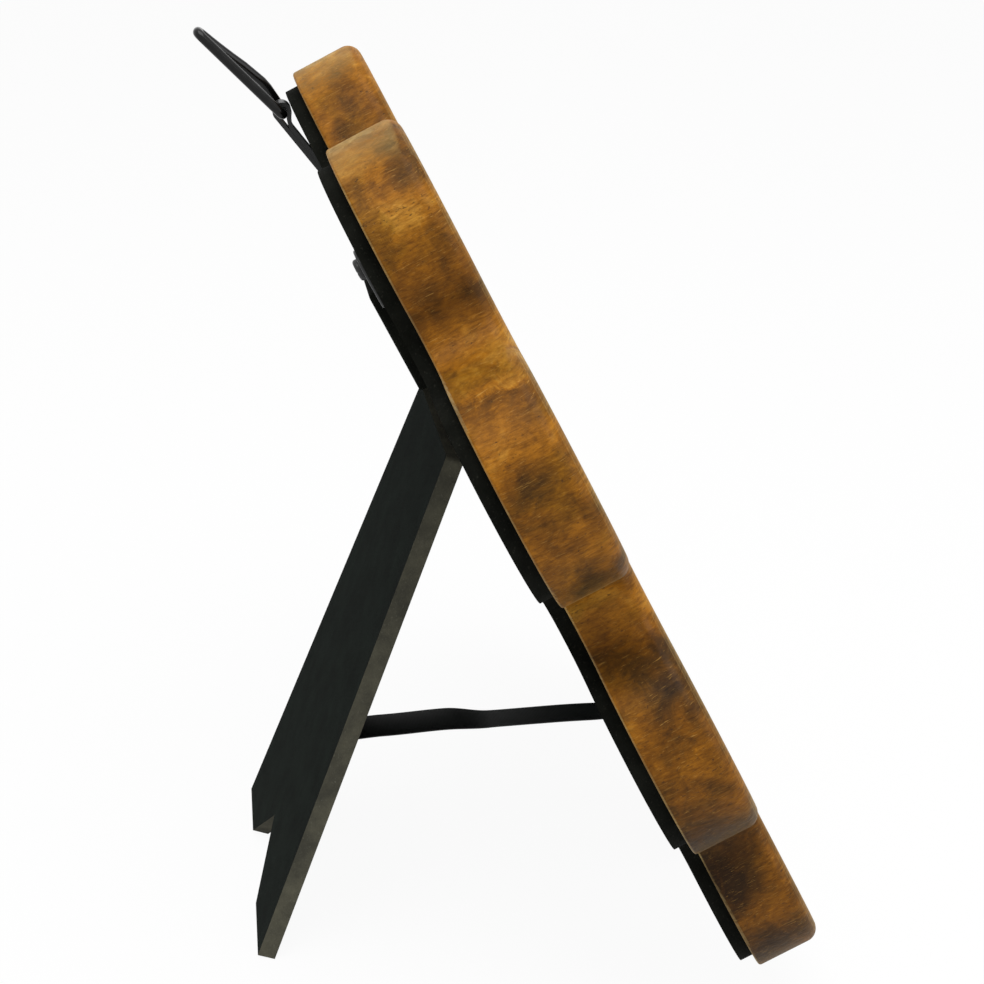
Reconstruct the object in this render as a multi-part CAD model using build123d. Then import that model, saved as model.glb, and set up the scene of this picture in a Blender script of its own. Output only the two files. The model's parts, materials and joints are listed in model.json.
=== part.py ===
from build123d import *

import os
from math import cos, radians, sin, sqrt

# Easel-back photo frame: a flower of solid wood round a 127 x 178 mm (5 x 7 inch) photo, with a black board back.
# Every piece is drawn flat, about the flower's centre: X across, Y up the frame, Z out of its front,
# with Z = 0 on the rear face of the wood. The whole is then leaned back until it stands on its lowest petal.
# Millimetres and degrees.

# Stance
LEAN = 26.4
LEG_SPREAD = 48.2

# Flower outline: each petal is a round of one radius, with its own angle from the top and distance from the centre
PETAL_RADIUS = 31.2
VALLEY_RADIUS = 10.5
VALLEY_EASE = 1.005
TOP_REACH = 109.4
SHOULDER_ANGLE = 33.0
SHOULDER_REACH = 117.4
SIDE_ANGLE = 66.3
SIDE_REACH = 117.7
HIP_ANGLE = 107.4
HIP_REACH = 112.2
FOOT_ANGLE = 141.1
FOOT_REACH = 126.5
BASE_REACH = 114.8

# Wood
WOOD_THICKNESS = 19.5
FRONT_ROUND = 4.0
REAR_ROUND = 0.8
DRESSED_ANGLE = 42.0
DRESSED_DEPTH = 2.6
SIGHT_ROUND = 3.0
SIGHT_CORNER = 4.0
SIGHT_LIP = 5.0

# Photo stack, from the glass back to the door
PHOTO_WIDTH = 127.0
PHOTO_HEIGHT = 178.0
PHOTO_THICKNESS = 0.4
GLASS_THICKNESS = 2.0
BACKING_THICKNESS = 2.6
REBATE_CLEARANCE = 1.0
GLASS_CLEARANCE = 0.5

# Rear board and door
BOARD_THICKNESS = 4.0
BOARD_INSET = 3.5
DOOR_SEAT = 3.0
DOOR_CORNER = 3.0
DOOR_GAP = 0.5
NAIL_OUTSET = 12.0
NAIL_LENGTH = 13.0
NAIL_RADIUS = 0.7
NAIL_HEAD_RADIUS = 1.4
NAIL_HEAD_THICKNESS = 0.5

# Turn buttons
BUTTON_INSET = 9.5
BUTTON_OUTSET = 5.5
BUTTON_THICKNESS = 1.8
BUTTON_PIVOT_RADIUS = 5.0
BUTTON_NOSE_RADIUS = 3.2
BUTTON_NOSE_REACH = 8.5
BUTTON_ROUND = 0.5
BUTTON_PLAY = 0.2
BUTTON_SCREW_RADIUS = 1.4
BUTTON_SCREW_DEPTH = 10.0
BUTTON_HEAD_RADIUS = 2.9
BUTTON_HEAD_HEIGHT = 1.3
PIVOT_CLEARANCE = 0.08
SLOT_WIDTH = 0.7
SLOT_DEPTH = 0.6
SCREW_HEAD_ROUND = 0.8

# Leg and its hinge
HINGE_HEIGHT = 31.6
HINGE_WIDTH = 48.0
HINGE_KNUCKLES = 5
KNUCKLE_RADIUS = 2.5
KNUCKLE_CLEARANCE = 0.4
KNUCKLE_GAP = 0.3
LEAF_THICKNESS = 1.0
DOOR_LEAF_HEIGHT = 17.0
LEG_LEAF_HEIGHT = 19.0
PIN_RADIUS = 1.2
PIN_CLEARANCE = 0.05
PIN_HEAD_RADIUS = 1.9
PIN_HEAD_THICKNESS = 0.8
RIVET_RADIUS = 1.2
RIVET_HEAD_RADIUS = 2.4
RIVET_HEAD_HEIGHT = 0.9
RIVET_HEAD_ROUND = 0.7
RIVET_SPREAD = 34.0
RIVET_MARGIN = 6.5
LEG_RIVET_HEAD = 0.6
LEG_RIVET_DEPTH = 3.6
LEG_THICKNESS = 5.4
LEG_TOP_WIDTH = 65.5
LEG_FOOT_WIDTH = 95.5
LEG_NOTCH_WIDTH = 42.0
LEG_NOTCH_DEPTH = 20.0
LEG_CORNER = 1.5

# Ribbon
RIBBON_MARGIN = 5.0
RIBBON_WIDTH = 10.0
RIBBON_THICKNESS = 0.5
RIBBON_BOW = 1.5
RIBBON_TAB = 14.0
RIBBON_FOLD = 1.2
BOW_ROUND = 0.8
STAPLE_WIDTH = 12.0
STAPLE_WIRE = 0.7
STAPLE_DEPTH = 2.4
STAPLE_SETBACK = 8.0

# Hanger
EYE_MARGIN = 3.6
EYE_STANDOFF = 0.6
WIRE_RADIUS = 1.35
RING_BASE = 16.0
RING_TIP = 4.6
RING_LENGTH = 30.5
RING_CORNER = 1.8
RING_TILT = 18.7
STRAP_WIDTH = 6.0
STRAP_THICKNESS = 1.2
STRAP_MARGIN = 3.5
STRAP_FOOT = 12.0
STRAP_CORNER = 2.4
HANGER_SCREW_RADIUS = 1.3
HANGER_SCREW_DEPTH = 11.0
HANGER_HEAD_RADIUS = 2.6
HANGER_HEAD_HEIGHT = 1.3

# Sizes that follow
FLOWER_FOOT = BASE_REACH + PETAL_RADIUS
REBATE_WIDTH = PHOTO_WIDTH + 2 * REBATE_CLEARANCE
REBATE_HEIGHT = PHOTO_HEIGHT + 2 * REBATE_CLEARANCE
REBATE_DEPTH = GLASS_THICKNESS + PHOTO_THICKNESS + BACKING_THICKNESS
DOOR_WIDTH = REBATE_WIDTH + 2 * DOOR_SEAT
DOOR_HEIGHT = REBATE_HEIGHT + 2 * DOOR_SEAT
BACK = -BOARD_THICKNESS
BUTTON_ACROSS = DOOR_WIDTH / 2 - BUTTON_INSET
BUTTON_UP = DOOR_HEIGHT / 2 + BUTTON_OUTSET
BUTTON_BACK = BACK - BUTTON_PLAY - BUTTON_THICKNESS
HINGE_BACK = BACK - KNUCKLE_CLEARANCE - KNUCKLE_RADIUS
KNUCKLE_LENGTH = HINGE_WIDTH / HINGE_KNUCKLES
LEG_INNER = KNUCKLE_RADIUS - LEAF_THICKNESS
LEG_OUTER = LEG_INNER - LEG_THICKNESS
LEG_TOP = -(KNUCKLE_RADIUS + KNUCKLE_CLEARANCE)
RIBBON_DROP = DOOR_HEIGHT / 2 - RIBBON_MARGIN
EYE_HEIGHT = TOP_REACH + PETAL_RADIUS - BOARD_INSET - EYE_MARGIN
EYE_INNER = WIRE_RADIUS + PIVOT_CLEARANCE
EYE_OUTER = EYE_INNER + STRAP_THICKNESS
EYE_BACK = BACK - EYE_STANDOFF - EYE_OUTER
STRAP_FOOT_BOTTOM = DOOR_HEIGHT / 2 + DOOR_GAP + STRAP_MARGIN
STRAP_FOOT_TOP = STRAP_FOOT_BOTTOM + STRAP_FOOT
STRAP_SCREW_UP = STRAP_FOOT_BOTTOM + STRAP_FOOT / 2

# The standing leg: its tilt from upright, and the length that brings the inner edge of its feet to the floor
LEG_TILT = LEG_SPREAD - LEAN
HINGE_RISE = (FLOWER_FOOT + HINGE_HEIGHT) * cos(radians(LEAN)) + HINGE_BACK * sin(radians(LEAN))
LEG_REACH = (HINGE_RISE - LEG_INNER * sin(radians(LEG_TILT))) / cos(radians(LEG_TILT))


def petal_centres():
    """Centres of the petals, clockwise from the top one."""
    right = [
        (0.0, TOP_REACH),
        (SHOULDER_ANGLE, SHOULDER_REACH),
        (SIDE_ANGLE, SIDE_REACH),
        (HIP_ANGLE, HIP_REACH),
        (FOOT_ANGLE, FOOT_REACH),
        (180.0, BASE_REACH),
    ]
    left = [(-angle, reach) for angle, reach in right[-2:0:-1]]
    return [Vector(reach * sin(radians(a)), reach * cos(radians(a))) for a, reach in right + left]


def flower(inset):
    """Face of the flower, drawn in by inset: petal rounds joined by tangent valleys, wider where petals stand apart."""
    petal = PETAL_RADIUS - inset
    centres = petal_centres()
    valleys = []
    for a, b in zip(centres, centres[1:] + centres[:1]):
        half = (b - a).length / 2
        reach = max(PETAL_RADIUS + VALLEY_RADIUS, VALLEY_EASE * half)
        outward = Vector(a.Y - b.Y, b.X - a.X).normalized()
        valleys.append(((a + b) * 0.5 + outward * sqrt(reach**2 - half**2), reach - petal))
    arcs = []
    for i, centre in enumerate(centres):
        before, (after, valley) = valleys[i - 1][0], valleys[i]
        following = centres[(i + 1) % len(centres)]
        start = centre + (before - centre).normalized() * petal
        end = centre + (after - centre).normalized() * petal
        arcs.append(ThreePointArc(start, centre + centre.normalized() * petal, end))
        reached = following + (after - following).normalized() * petal
        arcs.append(ThreePointArc(end, after - after.normalized() * valley, reached))
    return make_face(arcs)


def slab(width, height, back, front, corner=0.0):
    """Rectangular plate between two heights, with rounded corners where corner is given."""
    outline = RectangleRounded(width, height, corner) if corner else Rectangle(width, height)
    return Pos(0, 0, back) * extrude(outline, front - back)


def rod(radius, back, front, x=0.0, y=0.0):
    """Round bar along Z."""
    return Pos(x, y, back) * extrude(Circle(radius), front - back)


def pan_screw(radius, head_radius, head_height, seat, depth, x, y):
    """Slotted pan-head screw that enters from behind: seat is the rear face under its head."""
    head = rod(head_radius, seat - head_height, seat)
    head = fillet(head.edges().group_by(Axis.Z)[0], SCREW_HEAD_ROUND)
    slot_back = seat - head_height
    head -= Pos(0, 0, slot_back) * Box(2 * head_radius, SLOT_WIDTH, 2 * SLOT_DEPTH)
    return Pos(x, y) * (head + rod(radius, seat, seat + depth))


def rivet(seat, length, x, y):
    """Domed rivet that enters from behind."""
    head = rod(RIVET_HEAD_RADIUS, seat - RIVET_HEAD_HEIGHT, seat)
    head = fillet(head.edges().group_by(Axis.Z)[0], RIVET_HEAD_ROUND)
    return Pos(x, y) * (head + rod(RIVET_RADIUS, seat, seat + length))


def nails():
    """Brads through the rear board, one in each petal but the top one, which the hanger's screw holds."""
    made = []
    for centre in petal_centres()[1:]:
        place = centre + centre.normalized() * NAIL_OUTSET
        head = rod(NAIL_HEAD_RADIUS, BACK, BACK + NAIL_HEAD_THICKNESS, place.X, place.Y)
        made.append(head + rod(NAIL_RADIUS, BACK, BACK + NAIL_LENGTH, place.X, place.Y))
    return made


def button_places():
    """Pivots of the turn buttons by name, each with the way its nose points."""
    return {
        "top_left": (-BUTTON_ACROSS, BUTTON_UP, -1),
        "top_right": (BUTTON_ACROSS, BUTTON_UP, -1),
        "bottom_left": (-BUTTON_ACROSS, -BUTTON_UP, 1),
        "bottom_right": (BUTTON_ACROSS, -BUTTON_UP, 1),
    }


def button_screws():
    seat = BUTTON_BACK - BUTTON_PLAY
    depth = BUTTON_SCREW_DEPTH
    return [
        pan_screw(BUTTON_SCREW_RADIUS, BUTTON_HEAD_RADIUS, BUTTON_HEAD_HEIGHT, seat, depth, x, y)
        for x, y, _ in button_places().values()
    ]


def turn_button(x, y, way):
    """Teardrop plate that swivels on its screw, with its nose over the door's edge."""
    nose = Pos(0, way * BUTTON_NOSE_REACH) * Circle(BUTTON_NOSE_RADIUS)
    outline = make_hull(Circle(BUTTON_PIVOT_RADIUS).edges() + nose.edges())
    plate = Pos(0, 0, BUTTON_BACK) * extrude(outline, BUTTON_THICKNESS)
    plate = fillet(plate.edges().group_by(Axis.Z)[0], BUTTON_ROUND)
    plate -= rod(BUTTON_SCREW_RADIUS + PIVOT_CLEARANCE, BUTTON_BACK, BACK)
    return Pos(x, y) * plate


def hanger_screw():
    seat = BACK - STRAP_THICKNESS
    return pan_screw(
        HANGER_SCREW_RADIUS, HANGER_HEAD_RADIUS, HANGER_HEAD_HEIGHT, seat, HANGER_SCREW_DEPTH, 0, STRAP_SCREW_UP
    )


def hanger_strap():
    """Steel strap screwed to the board, rising to an eye rolled round the ring's wire."""
    tangent = EYE_BACK + EYE_OUTER
    side = Polyline(
        (STRAP_FOOT_BOTTOM, BACK),
        (STRAP_FOOT_TOP, BACK),
        (EYE_HEIGHT, tangent),
        (EYE_HEIGHT, tangent - STRAP_THICKNESS),
        (STRAP_FOOT_TOP, BACK - STRAP_THICKNESS),
        (STRAP_FOOT_BOTTOM, BACK - STRAP_THICKNESS),
        close=True,
    )
    eye = Pos(EYE_HEIGHT, EYE_BACK) * Circle(EYE_OUTER)
    bore = Pos(EYE_HEIGHT, EYE_BACK) * Circle(EYE_INNER)
    profile = make_face(side) + eye - bore
    strap = extrude(Plane.YZ * profile, STRAP_WIDTH / 2, both=True)
    corners = strap.edges().filter_by(Axis.Z).group_by(Axis.Y)[0]
    strap = fillet(corners, STRAP_CORNER)
    return strap - rod(HANGER_SCREW_RADIUS, BACK - STRAP_THICKNESS, BACK, 0, STRAP_SCREW_UP)


def hanger_ring():
    """Narrow wire loop on the strap's eye, tilted back from the board."""
    base, tip = RING_BASE / 2, RING_TIP / 2
    corners = [(-base, 0), (base, 0), (tip, RING_LENGTH), (-tip, RING_LENGTH)]
    path = FilletPolyline(*corners, radius=RING_CORNER, close=True)
    start = path @ 0.5
    section = Plane(origin=start, z_dir=path % 0.5) * Circle(WIRE_RADIUS)
    ring = sweep(section, path=path)
    return Pos(0, EYE_HEIGHT, EYE_BACK) * Rot(-RING_TILT, 0, 0) * ring


def dressed_flats():
    """Cutters for the flat planed at 45 degrees on the front edge of each shoulder petal."""
    cutters = []
    for centre, side in ((petal_centres()[1], 1), (petal_centres()[-1], -1)):
        away = Vector(side * sin(radians(DRESSED_ANGLE)), cos(radians(DRESSED_ANGLE)))
        edge = centre + away * (PETAL_RADIUS - DRESSED_DEPTH)
        flat = Plane(origin=(edge.X, edge.Y, WOOD_THICKNESS), z_dir=(away.X, away.Y, 1))
        cutters.append(flat * Pos(0, 0, PETAL_RADIUS / 2) * Box(PETAL_RADIUS, PETAL_RADIUS, PETAL_RADIUS))
    return cutters


def wood_frame():
    wood = extrude(flower(0), WOOD_THICKNESS)
    wood = fillet(wood.edges().group_by(Axis.Z)[-1], FRONT_ROUND)
    wood = fillet(wood.edges().group_by(Axis.Z)[0], REAR_ROUND) - dressed_flats()
    sight_width = REBATE_WIDTH - 2 * SIGHT_LIP
    sight_height = REBATE_HEIGHT - 2 * SIGHT_LIP
    wood -= slab(sight_width, sight_height, REBATE_DEPTH, WOOD_THICKNESS, SIGHT_CORNER)
    sight = wood.faces().sort_by(Axis.Z)[-1].inner_wires()[0]
    wood = fillet(sight.edges(), SIGHT_ROUND)
    wood -= slab(REBATE_WIDTH, REBATE_HEIGHT, 0, REBATE_DEPTH)
    return wood - nails() - button_screws() - hanger_screw()


def rear_board():
    board = Pos(0, 0, BACK) * extrude(flower(BOARD_INSET), BOARD_THICKNESS)
    opening_corner = DOOR_CORNER + DOOR_GAP
    board -= slab(DOOR_WIDTH + 2 * DOOR_GAP, DOOR_HEIGHT + 2 * DOOR_GAP, BACK, 0, opening_corner)
    return board - nails() - button_screws() - hanger_screw()


def knuckle_span(index):
    """Ends across the hinge of one knuckle, with half the gap taken off each inner end."""
    low = -HINGE_WIDTH / 2 + index * KNUCKLE_LENGTH
    high = low + KNUCKLE_LENGTH
    if index > 0:
        low += KNUCKLE_GAP / 2
    if index < HINGE_KNUCKLES - 1:
        high -= KNUCKLE_GAP / 2
    return low, high


def barrel(radius, low, high):
    """Round bar along the hinge's axis."""
    return Pos(low, 0, 0) * extrude(Plane.YZ * Circle(radius), high - low)


def hinge_leaf(first, plate):
    """Leaf about the hinge's axis: a plate curled into every second knuckle."""
    leaf = plate
    for index in range(HINGE_KNUCKLES):
        low, high = knuckle_span(index)
        if index % 2 == first:
            leaf += barrel(KNUCKLE_RADIUS, low, high)
        else:
            leaf -= barrel(KNUCKLE_RADIUS + KNUCKLE_CLEARANCE, low - KNUCKLE_GAP, high + KNUCKLE_GAP)
    return leaf - barrel(PIN_RADIUS + PIN_CLEARANCE, -HINGE_WIDTH, HINGE_WIDTH)


def at_hinge(piece):
    return Pos(0, HINGE_HEIGHT, HINGE_BACK) * piece


def on_leg(piece):
    """Swings a piece that is drawn folded, about the hinge's axis, out to where the leg stands."""
    return at_hinge(Rot(LEG_SPREAD, 0, 0) * piece)


def rivet_places(along):
    return [(x, along) for x in (-RIVET_SPREAD / 2, 0.0, RIVET_SPREAD / 2)]


def door_rivets():
    seat = BACK - LEAF_THICKNESS
    along = HINGE_HEIGHT + DOOR_LEAF_HEIGHT - RIVET_MARGIN
    return [rivet(seat, -seat, x, y) for x, y in rivet_places(along)]


def leg_rivets():
    """Rivets sunk flush in the leg's leaf, which stop inside the leg and leave its rear face plain."""
    front = LEG_INNER + LEAF_THICKNESS
    return [
        rod(RIVET_HEAD_RADIUS, front - LEG_RIVET_HEAD, front, x, y)
        + rod(RIVET_RADIUS, LEG_INNER - LEG_RIVET_DEPTH, front - LEG_RIVET_HEAD, x, y)
        for x, y in rivet_places(RIVET_MARGIN - LEG_LEAF_HEIGHT)
    ]


def hinge_door_leaf():
    back = BACK - LEAF_THICKNESS - HINGE_BACK
    plate = Pos(0, DOOR_LEAF_HEIGHT / 2, 0) * slab(HINGE_WIDTH, DOOR_LEAF_HEIGHT, back, back + LEAF_THICKNESS)
    return at_hinge(hinge_leaf(0, plate)) - door_rivets()


def hinge_leg_leaf():
    front = LEG_INNER + LEAF_THICKNESS
    plate = Pos(0, -LEG_LEAF_HEIGHT / 2, 0) * slab(HINGE_WIDTH, LEG_LEAF_HEIGHT, LEG_INNER, front)
    return hinge_leaf(1, plate) - leg_rivets()


def hinge_pin():
    half = HINGE_WIDTH / 2 + PIN_CLEARANCE
    pin = barrel(PIN_RADIUS, -half, half)
    pin += barrel(PIN_HEAD_RADIUS, -half - PIN_HEAD_THICKNESS, -half)
    pin += barrel(PIN_HEAD_RADIUS, half, half + PIN_HEAD_THICKNESS)
    return at_hinge(pin)


def easel_leg():
    """Tapered board that ends in two feet either side of a notch."""
    half_top, half_foot, half_notch = LEG_TOP_WIDTH / 2, LEG_FOOT_WIDTH / 2, LEG_NOTCH_WIDTH / 2
    outline = make_face(
        Polyline(
            (-half_top, LEG_TOP),
            (half_top, LEG_TOP),
            (half_foot, -LEG_REACH),
            (half_notch, -LEG_REACH),
            (0, LEG_NOTCH_DEPTH - LEG_REACH),
            (-half_notch, -LEG_REACH),
            (-half_foot, -LEG_REACH),
            close=True,
        )
    )
    outline = fillet(outline.vertices().group_by(Axis.Y)[-1], LEG_CORNER)
    return Pos(0, 0, LEG_OUTER) * extrude(outline, LEG_THICKNESS) - leg_rivets() - leg_staple()


def ribbon_ends():
    """Where the ribbon's level line leaves the door, and where it meets the leg, as distances along the two."""
    level = Vector(sin(radians(LEAN)), -cos(radians(LEAN)))
    leg_down = Vector(-cos(radians(LEG_SPREAD)), -sin(radians(LEG_SPREAD)))
    leg_in = Vector(leg_down.Y, -leg_down.X)
    door = Vector(-RIBBON_DROP, BACK - RIBBON_THICKNESS / 2)
    face = Vector(HINGE_HEIGHT, HINGE_BACK) + leg_in * (LEG_INNER + RIBBON_THICKNESS / 2)
    offset = face - door
    cross = level.X * leg_down.Y - level.Y * leg_down.X
    span = (offset.X * leg_down.Y - offset.Y * leg_down.X) / cross
    along = (offset.X * level.Y - offset.Y * level.X) / cross
    return door, door + level * span, leg_down, along


def stay_ribbon():
    """Ribbon from a tab on the door, over a slight bow, to a tab on the leg."""
    door, leg, leg_down, _ = ribbon_ends()
    rise = Vector(cos(radians(LEAN)), sin(radians(LEAN)))
    middle = (door + leg) * 0.5 + rise * RIBBON_BOW
    half_span = (leg - door).length / 2
    bow = half_span * half_span / (2 * RIBBON_BOW) * BOW_ROUND
    points = [door + Vector(RIBBON_TAB, 0), door, middle, leg, leg + leg_down * RIBBON_TAB]
    path = FilletPolyline(*[(0, p.X, p.Y) for p in points], radius=[RIBBON_FOLD, bow, RIBBON_FOLD])
    section = Plane(origin=path @ 0, x_dir=(1, 0, 0), z_dir=path % 0) * Rectangle(RIBBON_WIDTH, RIBBON_THICKNESS)
    return sweep(section, path=path)


def staple(surface, inward, depth):
    """Staple across X over the ribbon: surface is the face under the ribbon, inward the way its legs go."""
    crown_low = surface - inward * RIBBON_THICKNESS
    crown_high = crown_low - inward * STAPLE_WIRE
    legs_end = surface + inward * depth
    crown = Pos(0, 0, (crown_low + crown_high) / 2) * Box(STAPLE_WIDTH, STAPLE_WIRE, STAPLE_WIRE)
    leg = Pos(0, 0, (crown_high + legs_end) / 2) * Box(STAPLE_WIRE, STAPLE_WIRE, abs(legs_end - crown_high))
    across = (STAPLE_WIDTH - STAPLE_WIRE) / 2
    return crown + Pos(across, 0, 0) * leg + Pos(-across, 0, 0) * leg


def door_staple():
    return Pos(0, STAPLE_SETBACK - RIBBON_DROP, 0) * staple(BACK, 1, STAPLE_DEPTH)


def leg_staple():
    along = ribbon_ends()[3] + STAPLE_SETBACK
    return Pos(0, -along, 0) * staple(LEG_INNER, -1, STAPLE_DEPTH)


def back_door():
    door = slab(DOOR_WIDTH, DOOR_HEIGHT, BACK, 0, DOOR_CORNER)
    return door - door_rivets() - door_staple()


def photo_stack():
    """Glass, photo and backing card, packed from the sight's lip back to the door."""
    glass_width = REBATE_WIDTH - 2 * GLASS_CLEARANCE
    glass_height = REBATE_HEIGHT - 2 * GLASS_CLEARANCE
    photo_front = REBATE_DEPTH - GLASS_THICKNESS
    return {
        "glass_pane": slab(glass_width, glass_height, photo_front, REBATE_DEPTH),
        "photo_insert": slab(PHOTO_WIDTH, PHOTO_HEIGHT, BACKING_THICKNESS, photo_front),
        "backing_card": slab(PHOTO_WIDTH, PHOTO_HEIGHT, 0, BACKING_THICKNESS),
    }


def flat_pieces():
    """Every piece by name, in the flat frame, with the leg already swung out."""
    pieces = {
        "wood_frame": wood_frame(),
        "rear_board": rear_board(),
        "back_door": back_door(),
        "board_nails": nails(),
        "button_screws": button_screws(),
        "hinge_door_leaf": hinge_door_leaf(),
        "hinge_pin": hinge_pin(),
        "door_rivets": door_rivets(),
        "easel_leg": on_leg(easel_leg()),
        "hinge_leg_leaf": on_leg(hinge_leg_leaf()),
        "leg_rivets": [on_leg(one) for one in leg_rivets()],
        "stay_ribbon": stay_ribbon(),
        "ribbon_staple_door": door_staple(),
        "ribbon_staple_leg": on_leg(leg_staple()),
        "hanger_strap": hanger_strap(),
        "hanger_screw": hanger_screw(),
        "hanger_ring": hanger_ring(),
    }
    pieces.update(photo_stack())
    for name, (x, y, way) in button_places().items():
        pieces["turn_button_" + name] = turn_button(x, y, way)
    return pieces


def standing(pieces):
    """Leans the pieces back onto the lowest petal and centres their footprint on the origin."""
    lean = Rot(90 - LEAN, 0, 0) * Pos(0, FLOWER_FOOT, 0)
    groups = {name: Compound(children=piece) if isinstance(piece, list) else piece for name, piece in pieces.items()}
    leaned = {name: lean * piece for name, piece in groups.items()}
    low = min(piece.bounding_box().min.Y for piece in leaned.values())
    high = max(piece.bounding_box().max.Y for piece in leaned.values())
    return {name: Pos(0, -(low + high) / 2, 0) * piece for name, piece in leaned.items()}


os.makedirs("parts", exist_ok=True)
for name, piece in standing(flat_pieces()).items():
    export_step(piece, os.path.join("parts", name + ".step"))
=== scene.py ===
"""Looks of the easel back photo frame: a mango wood flower, a black fibreboard back and a hinged leg."""

import json
import math

import bmesh
import bpy
from mathutils import Matrix, Vector


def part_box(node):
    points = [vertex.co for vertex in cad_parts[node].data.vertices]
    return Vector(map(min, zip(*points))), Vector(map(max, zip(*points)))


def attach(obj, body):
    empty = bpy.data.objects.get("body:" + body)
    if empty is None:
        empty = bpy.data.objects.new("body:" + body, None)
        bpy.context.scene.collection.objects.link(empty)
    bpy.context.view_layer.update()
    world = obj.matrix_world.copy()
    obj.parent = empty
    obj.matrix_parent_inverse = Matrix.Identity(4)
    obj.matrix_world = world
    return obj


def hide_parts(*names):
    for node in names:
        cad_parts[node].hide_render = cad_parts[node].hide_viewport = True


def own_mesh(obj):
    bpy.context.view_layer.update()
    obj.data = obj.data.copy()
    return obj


MM = 0.001
PER_METRE = 1000.0

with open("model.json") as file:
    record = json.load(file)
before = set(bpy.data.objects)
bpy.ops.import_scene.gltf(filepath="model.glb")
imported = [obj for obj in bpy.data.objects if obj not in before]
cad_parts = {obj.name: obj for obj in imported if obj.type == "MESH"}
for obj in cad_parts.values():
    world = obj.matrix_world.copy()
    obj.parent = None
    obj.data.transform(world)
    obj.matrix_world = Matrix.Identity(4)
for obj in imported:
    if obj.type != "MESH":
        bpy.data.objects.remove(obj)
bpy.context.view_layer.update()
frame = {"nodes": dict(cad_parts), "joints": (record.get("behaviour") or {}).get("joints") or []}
nodes = frame["nodes"]
joints = {joint["name"]: joint for joint in frame["joints"]}

# Directions of the leaning frame: across it, out of its front and up its face
ACROSS = Vector((1, 0, 0))
OUT = Vector(joints["button_top_left_turn"]["axis"]).normalized()
UP = OUT.cross(ACROSS)
LEAN = math.atan2(UP.y, UP.z)

# The leg stands from its hinge and tilts this far from upright
HINGE = Vector(joints["leg_hinge"]["pos_m"])
LEG_TILT = math.radians(21.8)
LEG_DOWN = Vector((0, math.sin(LEG_TILT), -math.cos(LEG_TILT)))
LEG_OUT = Vector((0, math.cos(LEG_TILT), math.sin(LEG_TILT)))

# Tone by height up the flower, in millimetres: how far up and down the flower it reaches, and how far
# it wavers in all. It is darker towards the foot, partly as painted shade of the light from above
HEIGHT_TONE_REACH = 150.0
HEIGHT_TONE_WAVER = 8.0

# Stay ribbon: a strip with a tab under a staple at each end
RIBBON_WIDTH = 10.0 * MM
RIBBON_THICKNESS = 0.4 * MM
RIBBON_TAB = 14.0 * MM
STAPLE_SETBACK = 8.0 * MM
RIBBON_FOLD = 1.6 * MM
RIBBON_CUP = 0.3 * MM
RIBBON_ROWS = 96
TAB_ROWS = 6
# From the door to the leg: height above the straight line in millimetres, and roll in degrees
RIBBON_RISE = [(0.0, 0.0), (0.2, 0.3), (0.45, 0.2), (0.6, 1.4), (0.82, 0.8), (1.0, 0.0)]
RIBBON_ROLL = [(0.0, 0.0), (0.1, -3.0), (0.42, -2.0), (0.6, -13.0), (0.93, -13.0), (1.0, -4.0)]

# Any strip: its columns, the rows of a soft fold, and the roll in degrees that cups it in full
STRIP_COLUMNS = 10
FOLD_ROWS = 6
CUPPED_BY = 10

# Wire loop of the hanger: it leans back from its eye, and its far side is bent a little to the board
EYE = Vector(joints["hanger_ring_swing"]["pos_m"])
WIRE_RADIUS = 1.35 * MM
LOOP_BASE = 16.0 * MM
LOOP_TIP = 4.6 * MM
LOOP_LENGTH = 30.4 * MM
LOOP_CORNER = 1.8 * MM
LOOP_TILT = math.radians(18.7)
LOOP_BEND = 1.9 * MM
LOOP_BEND_HEIGHT = 9.0 * MM
LOOP_SIDES = 16
LOOP_CORNER_ROWS = 8
LOOP_STRAIGHT_ROWS = 12

# Strap of the hanger: flat at its foot, rolled round the wire and doubled back along itself
STRAP_WIDTH = 6.0 * MM
STRAP_THICKNESS = 1.2 * MM
STRAP_FOOT = 12.0 * MM
STRAP_BEND = 3.0 * MM
STRAP_ROLL = math.radians(225)
STRAP_TAIL = 15.0 * MM
STRAP_LAYER_GAP = 0.05 * MM
EYE_CLEARANCE = 0.08 * MM
# Where the fold after the roll has its corner and its end, in roll radii down the strap
STRAP_FOLD_CORNER = 1.8
STRAP_FOLD_END = 2.7
STRAP_FLAT_ROWS = 4
STRAP_RISE_ROWS = 6
STRAP_ROLL_ROWS = 36
STRAP_FOLD_ROWS = 8

# Block above the hinge, as wide and thick as the top of the leg, up the door from the flower's centre
BLOCK_WIDTH = 65.5 * MM
BLOCK_FOOT = 53.0 * MM
BLOCK_TOP = 84.0 * MM
BLOCK_THICKNESS = 5.4 * MM
BLOCK_TAPER = 0.04
BLOCK_ROUND = 1.2 * MM
BLOCK_ROUND_ROWS = 4

# Faces that meet at a sharper angle than this keep a crisp edge
CRISP = math.radians(40)

# Camera, at the photo's viewing angle: above the frame's left side, almost in the plane of its back
CAMERA_PLACE = HINGE + Vector((-479.7, 59.8, 168.7)) * MM
CAMERA_YAW = math.radians(8.667)
CAMERA_PITCH = math.radians(21.898)
CAMERA_LENS = 62.2
CAMERA_NEAR = 10.0 * MM
SENSOR = 36.0

# Stage: half the floor's width in metres, the share of plain white in it, and the surround's light
FLOOR_HALF = 3.0
FLOOR_WHITE = 0.94
SURROUND_LIGHT = 0.46
PURE_WHITE = (1, 1, 1, 1)


def linear(code):
    """Linear colour with full alpha from an sRGB hex value."""
    shares = [int(code[i : i + 2], 16) / 255 for i in (1, 3, 5)]
    return tuple(s / 12.92 if s <= 0.04045 else ((s + 0.055) / 1.055) ** 2.4 for s in shares) + (1.0,)


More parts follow.
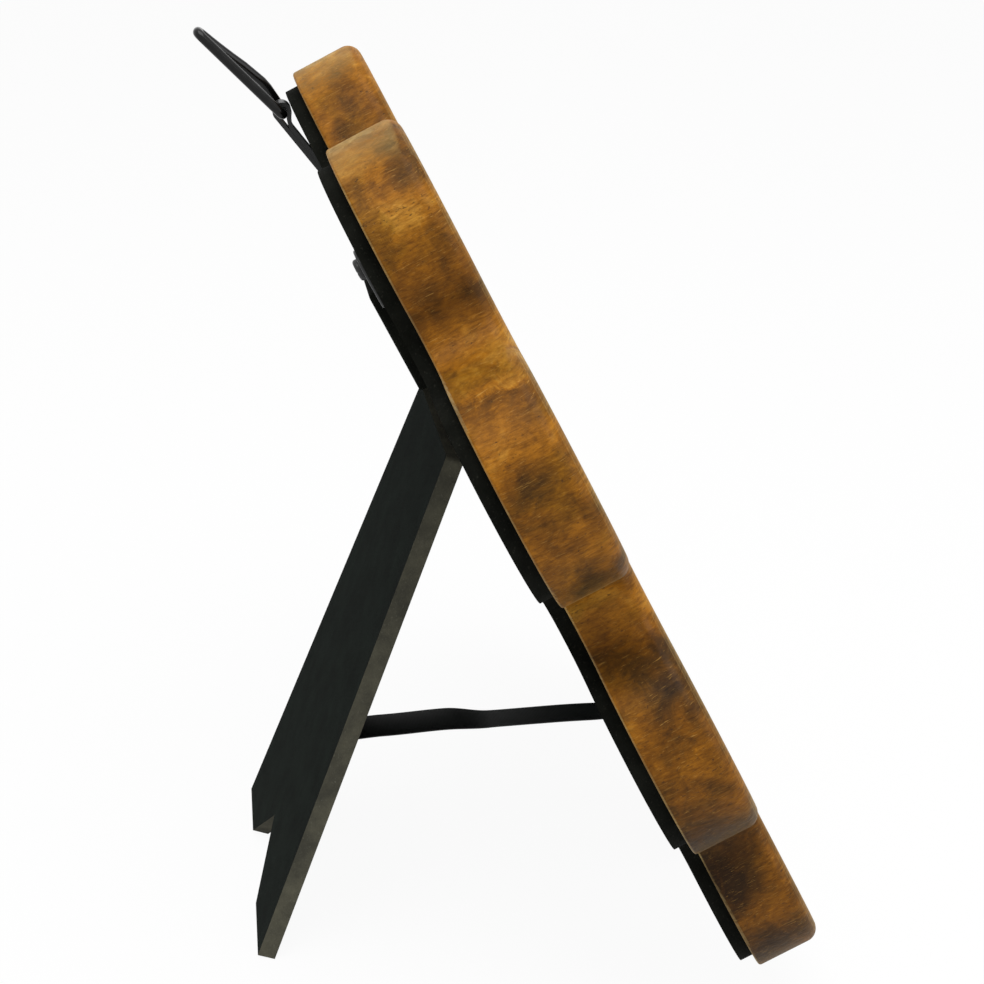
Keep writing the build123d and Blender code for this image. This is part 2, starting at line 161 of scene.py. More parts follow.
def add(tree, kind, inputs=None, **settings):
    """Adds a node with its settings. inputs maps a socket to a value or to another node's output."""
    made = tree.nodes.new(kind)
    for name, value in settings.items():
        setattr(made, name, value)
    for socket, value in (inputs or {}).items():
        if isinstance(value, bpy.types.NodeSocket):
            tree.links.new(value, made.inputs[socket])
        else:
            made.inputs[socket].default_value = value
    return made


def mapped(tree, where, **sockets):
    """Coordinates scaled, turned and moved."""
    return add(tree, "ShaderNodeMapping", {"Vector": where, **sockets}).outputs["Vector"]


def noise(tree, where, size, detail, roughness=0.5, distortion=0.0):
    """Noise from 0 to 1 whose clouds are about size across."""
    inputs = {"Vector": where, "Scale": 1 / size, "Detail": detail}
    inputs.update({"Roughness": roughness, "Distortion": distortion})
    return add(tree, "ShaderNodeTexNoise", inputs).outputs["Fac"]


def ramp(tree, share, stops):
    """Colour at a share of the way along stops, each a place and an sRGB hex value."""
    made = add(tree, "ShaderNodeValToRGB", {"Fac": share})
    elements = made.color_ramp.elements
    while len(elements) < len(stops):
        elements.new(1.0)
    for element, (place, code) in zip(elements, stops):
        element.position = place
        element.color = linear(code)
    return made.outputs["Color"]


def remap(tree, value, low=0.0, high=1.0, to_low=0.0, to_high=1.0, smooth=False):
    """Brings low to high onto to_low to to_high and holds the value between them."""
    inputs = {"Value": value, "From Min": low, "From Max": high, "To Min": to_low, "To Max": to_high}
    easing = "SMOOTHSTEP" if smooth else "LINEAR"
    return add(tree, "ShaderNodeMapRange", inputs, interpolation_type=easing).outputs["Result"]


def maths(tree, operation, *values):
    """Result of an operation on values or outputs."""
    return add(tree, "ShaderNodeMath", dict(enumerate(values)), operation=operation).outputs["Value"]


def facing(tree, way):
    """How squarely a surface looks one way, from -1 to 1."""
    normal = add(tree, "ShaderNodeTexCoord").outputs["Normal"]
    dot = add(tree, "ShaderNodeVectorMath", {0: normal, 1: way}, operation="DOT_PRODUCT")
    return dot.outputs["Value"]


def blend(tree, share, under, over, blend_type="MIX"):
    """Colour over laid on colour under by a share."""
    inputs = {0: share, 6: under, 7: over}
    return add(tree, "ShaderNodeMix", inputs, data_type="RGBA", blend_type=blend_type).outputs[2]


def bump(tree, height, strength, distance, below=None, invert=False):
    """Normal bent by a height, on top of the normal below if there is one."""
    inputs = {"Height": height, "Strength": strength, "Distance": distance}
    if below is not None:
        inputs["Normal"] = below
    return add(tree, "ShaderNodeBump", inputs, invert=invert).outputs["Normal"]


def finish_named(name, **sockets):
    """A material with its shader, whose even values are set on the shader's own sockets."""
    material = bpy.data.materials.new(name)
    material.use_nodes = True
    tree = material.node_tree
    shader = tree.nodes["Principled BSDF"]
    for socket, value in sockets.items():
        shader.inputs[socket.replace("_", " ")].default_value = value
    return material, tree, shader


def feed(tree, shader, **outputs):
    """Links outputs to the shader's sockets."""
    for socket, output in outputs.items():
        tree.links.new(output, shader.inputs[socket.replace("_", " ")])


def millimetres(tree, lean=0.0, origin=Vector()):
    """The piece's own coordinates in millimetres, leaned about X and measured from origin."""
    return mapped(
        tree,
        add(tree, "ShaderNodeTexCoord").outputs["Object"],
        Location=Matrix.Rotation(lean, 3, "X") @ (origin * -PER_METRE),
        Rotation=(lean, 0.0, 0.0),
        Scale=(PER_METRE,) * 3,
    )


def least(name, way):
    """The least reach of a CAD node along a direction."""
    return min(way.dot(vertex.co) for vertex in nodes[name].data.vertices)


def flower_centre():
    """Centre of the flower on the rear face of the wood: the turn buttons stand evenly round it."""
    pivots = [Vector(joint["pos_m"]) for name, joint in joints.items() if name.startswith("button_")]
    middle = sum(pivots, Vector()) / len(pivots)
    return middle + OUT * (least("wood_frame", OUT) - OUT.dot(middle))


def mango_wood():
    """Mango wood, sawn and drum sanded, then stained and waxed. The grain runs across the frame, so its
    sides show end grain: golden brown with dark and olive clouds where the stain soaked in, short fibres
    raised by the sander, pores as dark flecks, and a wax that is rubbed pale on the edges. Painted
    highlights pale the edges, the crests of the top petals and the undersides of the others, and painted
    shade darkens the valleys between petals and the flower towards its foot."""
    material, tree, shader = finish_named(
        "mango_wood",
        IOR=1.45,
        Specular_IOR_Level=0.1,
        Coat_Weight=0.08,
        Coat_Roughness=0.35,
        Sheen_Weight=0.2,
        Sheen_Roughness=0.35,
        Sheen_Tint=linear("#caa767"),
    )
    flat = millimetres(tree, LEAN - math.pi / 2, flower_centre())
    up_face = add(tree, "ShaderNodeSeparateXYZ", {"Vector": flat}).outputs["Y"]

    # Stain: clouds 22 to 34 mm across, mottled at 7 mm
    wide = mapped(tree, flat, Location=(7.3, 2.1, 4.4), Scale=(1 / 34, 1 / 26, 1 / 22))
    cloud = noise(tree, wide, size=1.0, detail=3.0, distortion=0.5)
    mottle = noise(tree, flat, size=7.0, detail=5.0, roughness=0.65, distortion=0.8)
    # Tone by height from foot to top: darker towards the foot, partly as painted shade, with lighter and
    # darker stretches at set heights
    waver = maths(tree, "MULTIPLY_ADD", mottle, HEIGHT_TONE_WAVER, up_face)
    height = remap(tree, waver, low=HEIGHT_TONE_WAVER / 2 - HEIGHT_TONE_REACH, high=HEIGHT_TONE_WAVER / 2 + HEIGHT_TONE_REACH)
    height_tone_and_shade = ramp(
        tree,
        height,
        [
            (0.18, "#767676"),
            (0.373, "#5d5d5d"),
            (0.45, "#9e9e9e"),
            (0.5, "#a8a8a8"),
            (0.633, "#9b9b9b"),
            (0.7, "#c8c8c8"),
            (0.743, "#c4c4c4"),
            (0.748, "#808080"),
            (0.755, "#ffffff"),
            (0.777, "#fafafa"),
            (0.803, "#b1b1b1"),
            (0.847, "#a0a0a0"),
            (0.887, "#b0b0b0"),
            (0.92, "#cecece"),
            (0.947, "#e2e2e2"),
        ],
    )
    # Stain clouds are added to the tone by height, which carries painted shade
    soaked = maths(tree, "MULTIPLY_ADD", cloud, 2.4, height_tone_and_shade)
    tone = maths(tree, "MULTIPLY_ADD", mottle, 1.2, soaked)
    coat = ramp(
        tree,
        remap(tree, tone, low=1.6, high=2.95),
        [(0.0, "#301c07"), (0.25, "#54340b"), (0.5, "#7f4f0d"), (0.72, "#a16712"), (1.0, "#c18a32")],
    )

    # Olive drifts in the stain, about 18 mm across
    drift = noise(tree, flat, size=18.0, detail=3.0, distortion=0.6)
    olive = remap(tree, drift, low=0.45, high=0.66, to_high=0.85, smooth=True)
    coat = blend(tree, olive, coat, linear("#dfe7cf"), "MULTIPLY")

    # Fibres the sander raised: under 1 mm wide and 3 to 4 mm long across the thickness, at two slants
    fibres = []
    for slant, width, length, strength in ((0.55, 0.7, 4.0, 0.55), (-0.35, 0.9, 2.8, 0.45)):
        combed = mapped(tree, flat, Rotation=(slant, 0.0, 0.1), Scale=(1 / 6, 1 / width, 1 / length))
        fibre = noise(tree, combed, size=1.0, detail=4.0, roughness=0.65, distortion=1.0)
        tint = ramp(tree, fibre, [(0.3, "#7d6a50"), (0.5, "#dcd8d0"), (0.66, "#ffffff")])
        coat = blend(tree, strength, coat, tint, "MULTIPLY")
        fibres.append(fibre)

    # Scratches of the sander, 0.5 mm wide, 6 to 8 mm long and curved, that lie three ways and hold dust
    for turn, place in ((0.9, 0.0), (-0.3, 31.0), (2.2, 57.0)):
        thin = mapped(
            tree,
            flat,
            Location=(place, place, 0.0),
            Rotation=(turn, 0.0, 0.0),
            Scale=(1 / 6, 1 / 0.5, 1 / 8),
        )
        scratch = noise(tree, thin, size=1.0, detail=1.5, distortion=3.2)
        dusty = remap(tree, scratch, low=0.65, high=0.82, to_high=0.5, smooth=True)
        coat = blend(tree, dusty, coat, linear("#b98c45"))

    # Pores: dark flecks 0.6 mm wide and 1.3 mm long, crowded where the stain is pale
    short = mapped(tree, flat, Scale=(1 / 4, 1 / 0.6, 1 / 1.3))
    pore = noise(tree, short, size=1.0, detail=2.0)
    crowded = maths(tree, "MULTIPLY_ADD", cloud, 0.3, pore)
    open_pore = remap(tree, crowded, low=0.82, high=0.93, to_high=0.7, smooth=True)
    coat = blend(tree, open_pore, coat, linear("#33200d"))

    # Painted shade: darker in the valleys between petals, where the petals shade each other
    hollow = add(tree, "ShaderNodeAmbientOcclusion", {"Distance": 24.0 * MM}, samples=8).outputs["AO"]
    painted_valley_shade = remap(tree, hollow, low=0.4, high=0.85, to_low=0.8, to_high=0.0)
    coat = blend(tree, painted_valley_shade, coat, linear("#38220e"))

    # Edges: pale along the front's rolled rim, on its planed flats, and on the sharp rear arris, both as wax
    # rubbed off and as a painted highlight of the light on them. The stops run from what faces the rear to
    # what faces the front
    edge = ramp(
        tree,
        remap(tree, facing(tree, OUT), low=-1.0),
        [
            (0.0, "#000000"),
            (0.03, "#d8d8d8"),
            (0.2, "#b4b4b4"),
            (0.35, "#000000"),
            (0.855, "#303030"),
            (0.865, "#989898"),
            (0.877, "#989898"),
            (0.887, "#505050"),
            (0.93, "#808080"),
            (0.985, "#c4c4c4"),
            (1.0, "#000000"),
        ],
    )
    # Painted highlight on the crests of the top petals, which face the light above, and painted reflection
    # on the undersides of the others, where no petal stands close by
    upright = facing(tree, UP)
    topmost = remap(tree, up_face, low=95.0, high=115.0)
    raised = maths(tree, "MULTIPLY", upright, topmost)
    underside = maths(tree, "MULTIPLY", upright, -1.0)
    painted_rim_light = maths(tree, "MAXIMUM", raised, underside)
    painted_rim_light_share = remap(tree, painted_rim_light, low=0.8, high=0.96, to_high=0.6, smooth=True)
    clear = remap(tree, hollow, low=0.72, high=0.95, to_high=painted_rim_light_share)
    wear_and_painted_highlight = maths(tree, "MAXIMUM", edge, clear)
    # The pale wear and painted highlight come and go with the drifts and miss the hollows between fibres
    rubbed = remap(tree, drift, low=0.38, high=0.62, to_low=0.2)
    combing = remap(tree, fibres[0], low=0.35, high=0.6, to_low=0.4, to_high=rubbed)
    wear_and_painted_highlight_share = maths(tree, "MULTIPLY", wear_and_painted_highlight, combing)
    # The pale colour is laid on both as rubbed wax and as painted highlight
    coat = blend(tree, wear_and_painted_highlight_share, coat, linear("#b89d63"))

    waxed = remap(tree, fibres[0], low=0.3, high=0.7, to_low=0.68, to_high=0.5)
    sanded = bump(tree, fibres[0], strength=0.4, distance=0.25 * MM)
    uneven = bump(tree, mottle, strength=0.5, distance=0.8 * MM, below=sanded)
    pitted = bump(tree, open_pore, strength=0.5, distance=0.2 * MM, below=uneven, invert=True)
    feed(tree, shader, Base_Color=coat, Roughness=waxed, Normal=pitted)
    return material


def black_fibreboard(name, face, edge_dark, edge_light, grit_shown):
    """Fibreboard sprayed black: the hard faces take a close matt coat, and the sawn edges drink the paint
    and stay greyer, rougher and gritty. face is the way the broad faces look."""
    material, tree, shader = finish_named(name, IOR=1.45, Specular_IOR_Level=0.04)
    own = millimetres(tree)
    flatness = maths(tree, "ABSOLUTE", facing(tree, face))
    edge = remap(tree, flatness, low=0.95, high=0.6)
    # Paint lies thinner in patches about 10 mm across
    patch = noise(tree, own, size=10.0, detail=5.0, roughness=0.65)
    coat = ramp(tree, patch, [(0.3, "#0a0e0b"), (0.7, "#141a16")])
    sawn = ramp(tree, patch, [(0.35, edge_dark), (0.68, edge_light)])
    # Grit in the sawn edge is about 0.3 mm, drawn at 0.7 mm so that it shows
    grit = noise(tree, own, size=0.7, detail=3.0, roughness=0.6)
    speck = remap(tree, grit, low=0.6, high=0.78, to_high=grit_shown)
    gritty = blend(tree, speck, sawn, linear("#76756a"))
    painted = blend(tree, edge, coat, gritty)
    matt = remap(tree, grit, to_low=0.78, to_high=0.95)
    rough = bump(tree, grit, strength=0.3, distance=0.25 * MM)
    feed(tree, shader, Base_Color=painted, Roughness=matt, Normal=rough)
    return material


def black_lacquered_wire():
    """Drawn steel wire dipped in black lacquer: glossy, with long highlights that waver a little."""
    material, tree, shader = finish_named("black_lacquered_wire", IOR=1.5, Specular_IOR_Level=0.24)
    runs = noise(tree, millimetres(tree), size=2.5, detail=2.0)
    colour = ramp(tree, runs, [(0.35, "#060606"), (0.7, "#0f0f0e")])
    gloss = remap(tree, runs, to_low=0.12, to_high=0.26)
    wavy = bump(tree, runs, strength=0.2, distance=0.15 * MM)
    feed(tree, shader, Base_Color=colour, Roughness=gloss, Normal=wavy)
    return material


def black_stove_enamel():
    """Pressed steel with a thin black stoved finish: satin, a little orange peel and duller in patches."""
    material, tree, shader = finish_named("black_stove_enamel", IOR=1.5)
    own = millimetres(tree)
    patch = noise(tree, own, size=3.0, detail=4.0)
    colour = ramp(tree, patch, [(0.35, "#101110"), (0.7, "#1c1d1c")])
    dull = remap(tree, patch, to_low=0.25, to_high=0.5)
    peel = bump(tree, noise(tree, own, size=0.6, detail=1.0), strength=0.15, distance=0.1 * MM)
    feed(tree, shader, Base_Color=colour, Roughness=dull, Normal=peel)
    return material


def bright_steel():
    """Plain steel of nails and staples, drawn and cut, with faint grey tarnish."""
    material, tree, shader = finish_named("bright_steel", Metallic=1.0)
    tarnish = noise(tree, millimetres(tree), size=0.8, detail=3.0)
    colour = ramp(tree, tarnish, [(0.35, "#6e6e70"), (0.7, "#a9a9aa")])
    dull = remap(tree, tarnish, to_low=0.45, to_high=0.3)
    feed(tree, shader, Base_Color=colour, Roughness=dull)
    return material


def satin_ribbon():
    """Polyester satin ribbon: a close warp with a soft sheen and a fine cross rib."""
    material, tree, shader = finish_named(
        "satin_ribbon", IOR=1.5, Specular_IOR_Level=0.3, Sheen_Weight=0.15, Sheen_Tint=linear("#7c827f")
    )
    # Threads are 0.15 mm apart on such a ribbon and are drawn 0.45 mm apart, so that they show
    rib_spacing = 0.45
    # At scale 1 the wave node turns this many radians in each unit
    wave_rate = 20
    rib = add(
        tree,
        "ShaderNodeTexWave",
        {
            "Vector": add(tree, "ShaderNodeUVMap", uv_map="weave").outputs["UV"],
            "Scale": 2 * math.pi / rib_spacing / wave_rate,
            "Distortion": 0.5,
            "Detail": 1.0,
        },
        bands_direction="X",
    ).outputs["Fac"]
    colour = ramp(tree, rib, [(0.1, "#0b0d0c"), (0.95, "#191d1b")])
    lustre = remap(tree, rib, to_low=0.52, to_high=0.4)
    ribbed = bump(tree, rib, strength=0.2, distance=0.05 * MM)
    feed(tree, shader, Base_Color=colour, Roughness=lustre, Normal=ribbed)
    return material


def float_glass():
    """Clear float glass with the faint green of its iron and a trace of polish in its gloss."""
    material, tree, shader = finish_named(
        "float_glass", Base_Color=linear("#f4faf7"), IOR=1.52, Transmission_Weight=1.0
    )
    wipe = noise(tree, millimetres(tree), size=30.0, detail=3.0)
    feed(tree, shader, Roughness=remap(tree, wipe, to_high=0.05))
    return material


def ivory_paper():
    """Heavy uncoated paper, cream, with a soft mottle of its fibres."""
    material, tree, shader = finish_named("ivory_paper", IOR=1.5)
    pulp = noise(tree, millimetres(tree), size=1.5, detail=5.0, roughness=0.7)
    colour = ramp(tree, pulp, [(0.35, "#e2dac8"), (0.65, "#ece6d8")])
    matt = remap(tree, pulp, to_low=0.75, to_high=0.9)
    tooth = bump(tree, pulp, strength=0.15, distance=0.1 * MM)
    feed(tree, shader, Base_Color=colour, Roughness=matt, Normal=tooth)
    return material


def grey_board():
    """Recycled grey board, speckled with the papers it is made of."""
    material, tree, shader = finish_named("grey_board", IOR=1.5)
    pulp = noise(tree, millimetres(tree), size=0.9, detail=5.0, roughness=0.75)
    colour = ramp(tree, pulp, [(0.3, "#6f695e"), (0.7, "#968f82")])
    matt = remap(tree, pulp, to_low=0.8, to_high=0.95)
    feed(tree, shader, Base_Color=colour, Roughness=matt)
    return material


def dress(material, *names):
    """Gives CAD nodes their material."""
    for name in names:
        slots = nodes[name].data.materials
        slots.clear()
        slots.append(material)


def dress_frame():
    """Gives CAD nodes their material, makes the pieces that stand in for three of them, and adds the
    block above the hinge."""
    dress(mango_wood(), "wood_frame")
    board = black_fibreboard("black_fibreboard", OUT, "#0d0e0b", "#191a16", 0.1)
    dress(board, "rear_board", "back_door")
    dress(black_fibreboard("black_fibreboard_leg", LEG_OUT, "#43423a", "#5a584b", 0.45), "easel_leg")
    buttons = [name for name in nodes if name.startswith("turn_button_")]
    hinge = ["hinge_door_leaf", "hinge_leg_leaf", "hinge_pin", "door_rivets", "leg_rivets"]
    enamel = black_stove_enamel()
    dress(enamel, "hanger_screw", "button_screws", *hinge, *buttons)
    dress(bright_steel(), "board_nails", "ribbon_staple_door", "ribbon_staple_leg")
    dress(float_glass(), "glass_pane")
    dress(ivory_paper(), "photo_insert")
    dress(grey_board(), "backing_card")
    hanger_strap(enamel)
    hanger_loop(black_lacquered_wire())
    hinge_block(board)
    stay_ribbon()


def piece(name, verts, faces, material):
    """A smooth mesh piece in the scene, with its normals turned outward."""
    mesh = bpy.data.meshes.new(name)
    mesh.from_pydata(verts, [], faces)
    form = bmesh.new()
    form.from_mesh(mesh)
    bmesh.ops.recalc_face_normals(form, faces=form.faces)
    form.to_mesh(mesh)
    form.free()
    mesh.polygons.foreach_set("use_smooth", [True] * len(mesh.polygons))
    mesh.set_sharp_from_angle(angle=CRISP)
    mesh.materials.append(material)
    made = bpy.data.objects.new(name, mesh)
    bpy.context.scene.collection.objects.link(made)
    return made


def eased(share):
    """A share from 0 to 1 that starts and ends gently."""
    return share * share * (3 - 2 * share)


def along(course, share):
    """Value of a course of (share, value) points, eased between one point and the next."""
    for (a, low), (b, high) in zip(course, course[1:]):
        if share <= b:
            return low + (high - low) * eased(max(0.0, (share - a) / (b - a)))
    return course[-1][1]


def middle_of(name):
    """Middle of a CAD node's box."""
    low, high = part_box(name)
    return (Vector(low) + Vector(high)) / 2


def ribbon_folds():
    """Where the ribbon's middle line turns off the door and onto the leg."""
    door_face = least("back_door", OUT) - RIBBON_THICKNESS / 2
    leg_face = least("easel_leg", LEG_OUT) - RIBBON_THICKNESS / 2
    door_mark = UP.dot(middle_of("ribbon_staple_door")) - STAPLE_SETBACK
    leg_mark = LEG_DOWN.dot(middle_of("ribbon_staple_leg")) - STAPLE_SETBACK
    return UP * door_mark + OUT * door_face, LEG_DOWN * leg_mark + LEG_OUT * leg_face


def turned(start, corner, end, steps):
    """Points of a soft fold from start to end round a corner."""
    shares = [i / steps for i in range(steps + 1)]
    return [start * (1 - t) ** 2 + corner * (2 * t * (1 - t)) + end * t**2 for t in shares]


def strip(name, line, rolls, width, thickness, cup, material):
    """Closed strip about a line of points, rolled and cupped across its width, with its weave laid out.
    Also gives its length."""
    verts = []
    weave = []
    run = 0.0
    count = STRIP_COLUMNS + 1
    last = len(line) - 1
    for i, point in enumerate(line):
        before = line[max(i - 1, 0)]
        after = line[min(i + 1, last)]
        ahead = (after - before).normalized()
        run += (point - before).length
        across = Matrix.Rotation(math.radians(rolls[i]), 3, ahead) @ ACROSS
        face = across.cross(ahead)
        bowl = cup * min(1.0, abs(rolls[i]) / CUPPED_BY)
        for side in (1, -1):
            for k in range(count):
                share = k / STRIP_COLUMNS - 0.5
                lift = bowl * (1 - (2 * share) ** 2) + side * thickness / 2
                verts.append(point + across * (share * width) + face * lift)
                weave.append((run * PER_METRE, share * width * PER_METRE))
    faces = []
    for i in range(last):
        a = 2 * count * i
        b = 2 * count * (i + 1)
        for k in range(STRIP_COLUMNS):
            faces.append((a + k, a + k + 1, b + k + 1, b + k))
            faces.append((a + count + k, b + count + k, b + count + k + 1, a + count + k + 1))
        faces.append((a, b, b + count, a + count))
        faces.append((a + count - 1, a + 2 * count - 1, b + 2 * count - 1, b + count - 1))
    for k in range(STRIP_COLUMNS):
        faces.append((k, k + count, k + count + 1, k + 1))
        end = 2 * count * last + k
        faces.append((end, end + 1, end + count + 1, end + count))
    made = piece(name, verts, faces, material)
    layer = made.data.uv_layers.new(name="weave")
    for loop in made.data.loops:
        layer.data[loop.index].uv = weave[loop.vertex_index]
    return made, run


def stay_ribbon():
    """Satin ribbon from its tab on the door to its tab on the leg, taut, with a lazy twist half way."""
    door, leg = ribbon_folds()
    span = leg - door
    level = span.normalized()
    upright = ACROSS.cross(level)
    tab_length = RIBBON_TAB - RIBBON_FOLD
    line = [door + UP * (RIBBON_TAB - i * tab_length / TAB_ROWS) for i in range(TAB_ROWS)]
    line += turned(door + UP * RIBBON_FOLD, door, door + level * RIBBON_FOLD, FOLD_ROWS)
    rolls = [0.0] * len(line)
    for i in range(1, RIBBON_ROWS):
        share = i / RIBBON_ROWS
        reach = RIBBON_FOLD + share * (span.length - 2 * RIBBON_FOLD)
        line.append(door + level * reach + upright * (along(RIBBON_RISE, share) * MM))
        rolls.append(along(RIBBON_ROLL, share))
    line += turned(leg - level * RIBBON_FOLD, leg, leg + LEG_DOWN * RIBBON_FOLD, FOLD_ROWS)
    rolls += [RIBBON_ROLL[-1][1] * (1 - i / FOLD_ROWS) for i in range(FOLD_ROWS + 1)]
    cut = (RIBBON_WIDTH, RIBBON_THICKNESS, RIBBON_CUP, satin_ribbon())
    ribbon, ribbon_run = strip("stay_ribbon_span", line, rolls, *cut)
    tab_line = [leg + LEG_DOWN * (RIBBON_FOLD + i * tab_length / TAB_ROWS) for i in range(TAB_ROWS + 1)]
    tab, tab_run = strip("stay_ribbon_leg_tab", tab_line, [0.0] * len(tab_line), *cut)
    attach(ribbon, "frame")
    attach(tab, "leg")
    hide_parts("stay_ribbon")
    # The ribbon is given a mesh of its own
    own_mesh(ribbon)


def hanger_strap(enamel):
    """Strap screwed to the board: flat at its foot, rising clear of the board, rolled over the loop's wire
    and doubled back along itself. Its side is drawn about the eye, up the frame and out of it."""
    board = least("rear_board", OUT) - OUT.dot(EYE) - STRAP_THICKNESS / 2
    low = least("hanger_strap", UP) - UP.dot(EYE)
    bend = Vector((low + STRAP_FOOT, board))
    roll = WIRE_RADIUS + EYE_CLEARANCE + STRAP_THICKNESS / 2
    start = math.atan2(bend.y, bend.x) + math.acos(roll / bend.length)
    touch = Vector((math.cos(start), math.sin(start))) * roll
    rise = (touch - bend).normalized()
    foot_run = STRAP_FOOT - STRAP_BEND
    rise_run = (touch - bend).length - STRAP_BEND
    side = [Vector((low + i * foot_run / STRAP_FLAT_ROWS, board)) for i in range(STRAP_FLAT_ROWS)]
    side += turned(bend - Vector((STRAP_BEND, 0)), bend, bend + rise * STRAP_BEND, FOLD_ROWS)
    for i in range(1, STRAP_RISE_ROWS):
        side.append(bend + rise * (STRAP_BEND + i * rise_run / STRAP_RISE_ROWS))
    for i in range(STRAP_ROLL_ROWS + 1):
        angle = start + STRAP_ROLL * i / STRAP_ROLL_ROWS
        side.append(Vector((math.cos(angle), math.sin(angle))) * roll)
    inward = Vector((-rise.y, rise.x)) * (STRAP_THICKNESS + STRAP_LAYER_GAP)
    corner = touch - rise * (STRAP_FOLD_CORNER * roll) + inward
    doubled = touch - rise * (STRAP_FOLD_END * roll) + inward
    side += turned(side[-1], corner, doubled, STRAP_FOLD_ROWS)[1:]
    for i in range(1, STRAP_FLAT_ROWS + 1):
        side.append(doubled - rise * (STRAP_TAIL * i / STRAP_FLAT_ROWS))
    line = [EYE + UP * point.x + OUT * point.y for point in side]
    cut = (STRAP_WIDTH, STRAP_THICKNESS, 0.0, enamel)
    made, _ = strip("hanger_strap_rolled", line, [0.0] * len(line), *cut)
    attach(made, "frame")
    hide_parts("hanger_strap")


def hanger_loop(lacquer):
    """Wire loop bent from one length, through the strap's eye at its base."""
    rising = UP * math.cos(LOOP_TILT) - OUT * math.sin(LOOP_TILT)
    square = OUT * math.cos(LOOP_TILT) + UP * math.sin(LOOP_TILT)
    base = LOOP_BASE / 2
    tip = LOOP_TIP / 2
    corners = [Vector(c) for c in ((-base, 0), (base, 0), (tip, LOOP_LENGTH), (-tip, LOOP_LENGTH))]
    path = []
    for i, corner in enumerate(corners):
        into = (corner - corners[i - 1]).normalized()
        onward = corners[(i + 1) % len(corners)] - corner
        leaving = onward.normalized()
        path += turned(corner - into * LOOP_CORNER, corner, corner + leaving * LOOP_CORNER, LOOP_CORNER_ROWS)
        straight = onward.length - 2 * LOOP_CORNER
        for k in range(1, LOOP_STRAIGHT_ROWS):
            path.append(corner + leaving * (LOOP_CORNER + straight * k / LOOP_STRAIGHT_ROWS))
    line = []
    for point in path:
        share = min(1.0, point.y / LOOP_BEND_HEIGHT)
        # The bend fades over the upper half, so the tip stays where it is
        fade = min(1.0, 2 * (LOOP_LENGTH - point.y) / LOOP_LENGTH)
        bent = LOOP_BEND * max(0.0, point.x / base) * fade * eased(share)
        line.append(EYE + ACROSS * point.x + rising * point.y + square * bent)
    verts = []
    faces = []
    for i, point in enumerate(line):
        ahead = (line[(i + 1) % len(line)] - line[i - 1]).normalized()
        sideways = ahead.cross(square).normalized()
        upward = sideways.cross(ahead)
        ring = i * LOOP_SIDES
        following = (i + 1) % len(line) * LOOP_SIDES
        for k in range(LOOP_SIDES):
            turn = 2 * math.pi * k / LOOP_SIDES
            beside = (k + 1) % LOOP_SIDES
            across = sideways * (WIRE_RADIUS * math.cos(turn))
            verts.append(point + across + upward * (WIRE_RADIUS * math.sin(turn)))
            faces.append((ring + k, ring + beside, following + beside, following + k))
    made = piece("hanger_loop_wire", verts, faces, lacquer)
    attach(made, "ring")
    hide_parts("hanger_ring")


def hinge_block(board):
    """Black block on the door above the leg's hinge, its edges softened by sanding."""
    form = bmesh.new()
    bmesh.ops.create_cube(form, size=1.0)
    centre = flower_centre()
    middle = (BLOCK_FOOT + BLOCK_TOP) / 2
    door = least("back_door", OUT) - OUT.dot(centre)
    for vert in form.verts:
        x, y, z = vert.co
        taper = 1.0 - BLOCK_TAPER * (y + 0.5)
        vert.co = (
            centre
            + ACROSS * (x * BLOCK_WIDTH * taper)
            + UP * (middle + y * (BLOCK_TOP - BLOCK_FOOT))
            + OUT * (door + (z - 0.5) * BLOCK_THICKNESS)
        )
    # Every edge is rounded except the four that lie on the door
    clear_of_door = OUT.dot(centre) + door - MM
    rounded = [e for e in form.edges if min(OUT.dot(v.co) for v in e.verts) < clear_of_door]
    bmesh.ops.bevel(
        form, geom=rounded, offset=BLOCK_ROUND, segments=BLOCK_ROUND_ROWS, profile=0.5, affect="EDGES"
    )
    form.verts.index_update()
    verts = [vert.co.copy() for vert in form.verts]
    faces = [[vert.index for vert in face.verts] for face in form.faces]
    form.free()
    made = piece("hinge_block", verts, faces, board)
    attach(made, "frame")


def camera():
    """Camera at the photo's viewing angle."""
    data = bpy.data.cameras.new("camera")
    data.lens = CAMERA_LENS
    data.sensor_width = SENSOR
    data.clip_start = CAMERA_NEAR
    made = bpy.data.objects.new("camera", data)
    level = math.cos(CAMERA_PITCH)
    ahead = Vector((level * math.cos(CAMERA_YAW), -level * math.sin(CAMERA_YAW), -math.sin(CAMERA_PITCH)))
    made.location = CAMERA_PLACE
    made.rotation_mode = "QUATERNION"
    made.rotation_quaternion = ahead.to_track_quat("-Z", "Y")
    bpy.context.scene.collection.objects.link(made)
    bpy.context.scene.camera = made


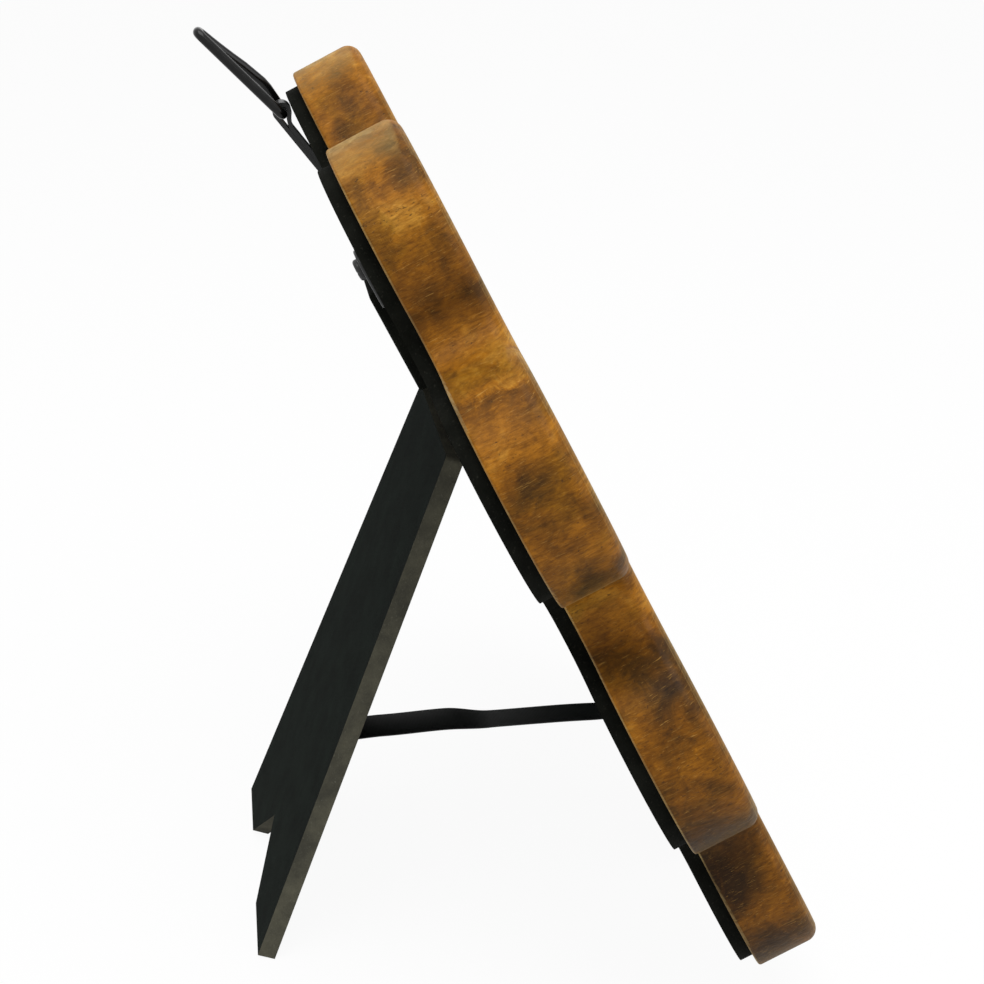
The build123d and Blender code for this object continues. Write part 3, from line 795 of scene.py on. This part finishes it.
def seen_directly(tree):
    """1 where the eye meets a surface straight, in a reflection or through glass."""
    path = add(tree, "ShaderNodeLightPath")
    direct = maths(tree, "MAXIMUM", path.outputs["Is Camera Ray"], path.outputs["Is Glossy Ray"])
    return maths(tree, "MAXIMUM", direct, path.outputs["Is Transmission Ray"])


def floor():
    """Plain white floor that keeps a little of the object's soft shadow."""
    half = FLOOR_HALF
    mesh = bpy.data.meshes.new("floor")
    corners = [(-half, -half, 0), (half, -half, 0), (half, half, 0), (-half, half, 0)]
    mesh.from_pydata(corners, [], [(0, 1, 2, 3)])
    made = bpy.data.objects.new("floor", mesh)
    bpy.context.scene.collection.objects.link(made)
    material, tree, shader = finish_named("white_floor", Base_Color=linear("#f0f0f0"), Roughness=0.9)
    share = maths(tree, "MULTIPLY", seen_directly(tree), FLOOR_WHITE)
    white = add(tree, "ShaderNodeEmission", {"Color": PURE_WHITE, "Strength": 1.0})
    mix = add(
        tree,
        "ShaderNodeMixShader",
        {"Fac": share, 1: shader.outputs["BSDF"], 2: white.outputs["Emission"]},
    )
    feed(tree, tree.nodes["Material Output"], Surface=mix.outputs["Shader"])
    mesh.materials.append(material)


def studio_light():
    """White surround, a broad lamp above and a softer one in front of the frame."""
    world = bpy.data.worlds.new("studio")
    bpy.context.scene.world = world
    world.use_nodes = True
    tree = world.node_tree
    background = tree.nodes["Background"]
    background.inputs["Color"].default_value = PURE_WHITE
    feed(tree, background, Strength=remap(tree, seen_directly(tree), to_low=SURROUND_LIGHT))
    aim = flower_centre()
    # Each lamp's place and width are in metres, and its power in watts
    for name, place, size, watts in (
        ("lamp_above", (-0.4, 0.1, 1.5), 1.2, 18.0),
        ("lamp_front", (-0.8, -1.1, 0.7), 1.0, 6.0),
    ):
        lamp = bpy.data.lights.new(name, "AREA")
        lamp.size = size
        lamp.energy = watts
        made = bpy.data.objects.new(name, lamp)
        made.location = place
        made.rotation_mode = "QUATERNION"
        made.rotation_quaternion = (aim - made.location).to_track_quat("-Z", "Y")
        bpy.context.scene.collection.objects.link(made)


bpy.context.scene.view_settings.view_transform = "Standard"
camera()
studio_light()
floor()
dress_frame()
